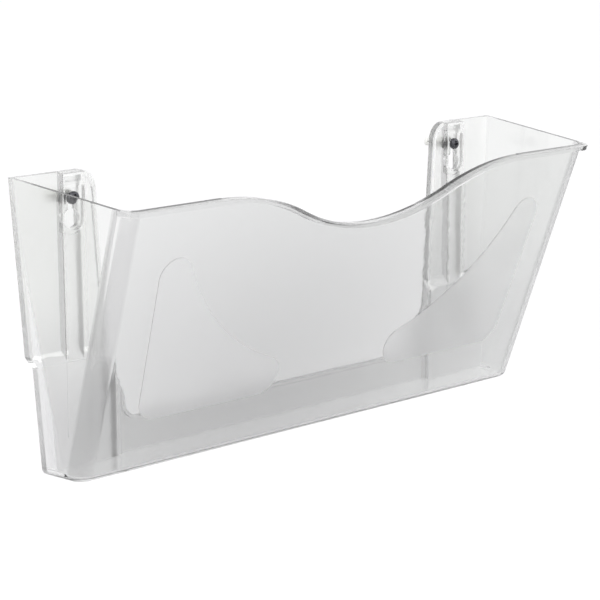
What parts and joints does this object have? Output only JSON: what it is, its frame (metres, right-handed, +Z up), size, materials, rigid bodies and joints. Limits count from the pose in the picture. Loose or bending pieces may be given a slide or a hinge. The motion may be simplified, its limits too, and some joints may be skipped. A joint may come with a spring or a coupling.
{
  "type": "wall magazine rack",
  "caption": "Clear moulded wall pocket for magazines, with a wavy lipped front, frosted patches and keyhole channels, hung on cross-head screws in wall plugs.",
  "frame": {"origin": "on the wall plane, at the middle of the pocket's width, level with the underside of its floor", "axes": "+X to the right as seen from the room, +Y into the wall, +Z up; the pocket stands out towards -Y"},
  "size_m": [0.413, 0.1201, 0.178],
  "materials": {
    "clear_plastic": "clear, glossy, with frosted patches on the front panel",
    "screw_steel": "dark zinc plated",
    "plug_plastic": "matte nylon"
  },
  "bodies": {
    "wall_fixings": {"plug_left": "plug_plastic", "plug_right": "plug_plastic", "screw_left": "screw_steel", "screw_right": "screw_steel"},
    "pocket": {"pocket": "clear_plastic"}
  },
  "joints": [
    {"name": "lift", "type": "slide", "parent": "wall_fixings", "child": "pocket", "axis": [0, 0, 1], "range_m": [0, 0.012]}
  ]
}
